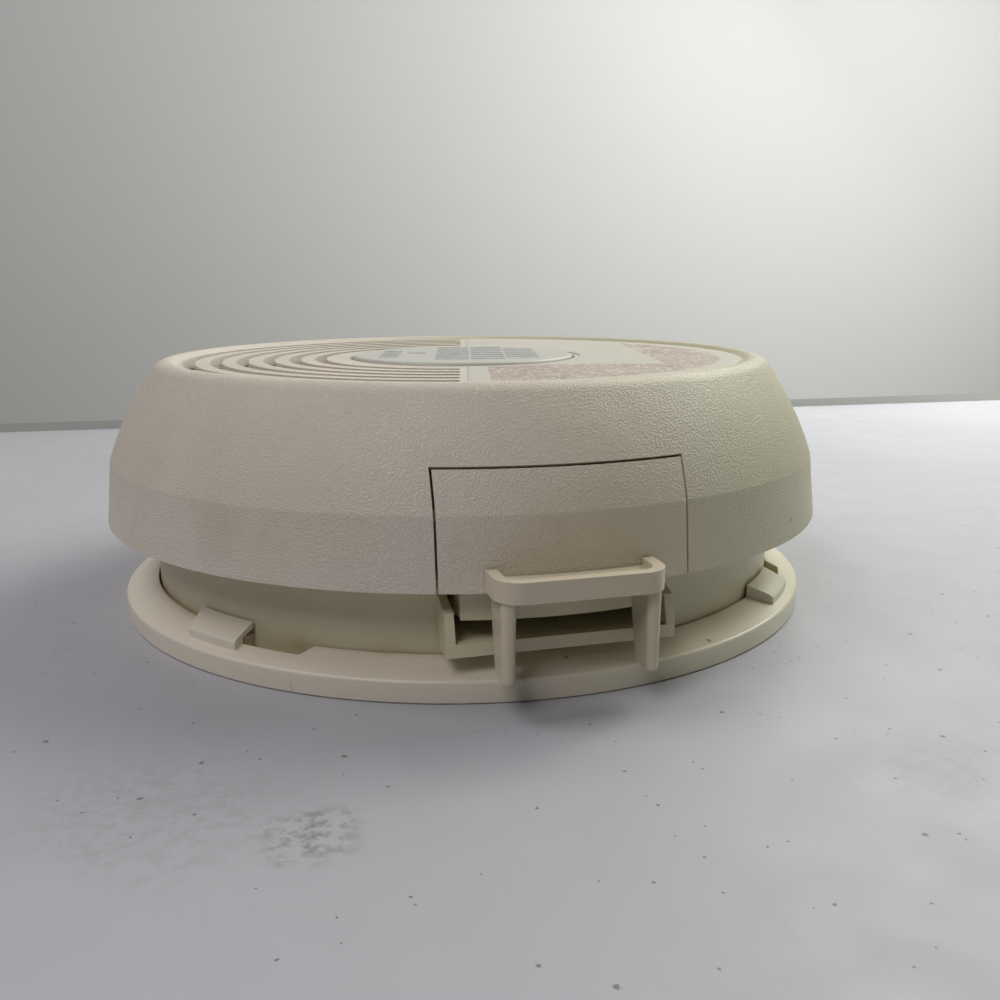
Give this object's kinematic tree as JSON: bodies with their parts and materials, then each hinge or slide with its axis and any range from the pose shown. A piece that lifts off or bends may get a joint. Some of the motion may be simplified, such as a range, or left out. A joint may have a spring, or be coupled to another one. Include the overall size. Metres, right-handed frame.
{
  "type": "smoke detector",
  "caption": "Round ceiling smoke alarm on a twist-lock mounting ring, with half grille, half label, test button and a battery drawer with a U-shaped pull.",
  "frame": {"origin": "centre of the mounting ring, on its flat back face, where the ceiling box meets it", "axes": "+Z along the alarm's axis from the back face to the grille face, battery drawer and its pull towards -Y, +X to the right seen from the drawer"},
  "size_m": [0.1444, 0.1512, 0.0481],
  "materials": {
    "cover_plastic": "fine leather-grain moulded plastic, aged ivory",
    "base_plastic": "smooth satin moulded plastic, yellowed ivory",
    "pull_plastic": "smooth satin moulded plastic, off-white",
    "button_plastic": "satin moulded plastic, pale",
    "label_film": null,
    "board": "solder-masked glass fibre board",
    "steel": "plated steel",
    "brass": "plain brass",
    "black_plastic": "black moulded plastic",
    "white_plastic": "white insulating plastic",
    "blue_sleeve": "blue sleeve or epoxy coat",
    "orange_epoxy": "orange-brown epoxy coat",
    "resistor_paint": "tan lacquer with colour bands",
    "red_lens": "clear red lens",
    "clear_plastic": "clear acrylic"
  },
  "bodies": {
    "bracket": {"mounting_bracket": "base_plastic"},
    "head": {"base_housing": "base_plastic", "cover": "cover_plastic", "face_label": "label_film", "circuit_board": "board", "power_inlet": "white_plastic", "chamber_base": "white_plastic", "source_holder": "steel", "collector_plate": "steel", "chamber_shield": "steel", "insect_screen": "black_plastic", "horn_housing": "black_plastic", "piezo_disc": "brass", "status_led": "red_lens", "light_pipe": "clear_plastic", "test_switch_blade": "steel", "test_switch_post": "brass", "dropper_capacitor": "orange_epoxy", "filter_capacitor": "blue_sleeve", "varistor": "blue_sleeve", "horn_coil": "black_plastic", "controller_chip": "black_plastic", "battery_contact_positive": "steel", "battery_contact_negative": "steel", "button_spring": "steel", "inlet_pin_1": "steel", "inlet_pin_2": "steel", "inlet_pin_3": "steel", "horn_contact_1": "steel", "horn_contact_2": "steel", "horn_contact_3": "steel", "resistor_1": "resistor_paint", "resistor_2": "resistor_paint", "resistor_3": "resistor_paint", "resistor_4": "resistor_paint", "cover_screw_1": "steel", "cover_screw_2": "steel", "cover_screw_3": "steel", "board_screw_1": "steel", "board_screw_2": "steel", "board_screw_3": "steel"},
    "drawer": {"battery_drawer": "cover_plastic", "drawer_pull": "pull_plastic", "battery_case": "black_plastic", "battery_snaps": "steel"},
    "button": {"test_button": "button_plastic"}
  },
  "joints": [
    {"name": "head_twist", "type": "hinge", "parent": "bracket", "child": "head", "pos_m": [0, 0, 0], "axis": [0, 0, 1], "range_deg": [0, 10.5]},
    {"name": "drawer_slide", "type": "slide", "parent": "head", "child": "drawer", "axis": [0, -1, 0], "range_m": [0, 0.05]},
    {"name": "button_press", "type": "slide", "parent": "head", "child": "button", "axis": [0, 0, -1], "range_m": [0, 0.0015], "stiffness_N_per_m": 600, "springref_m": -0.002, "deforming": ["button_spring"]}
  ]
}
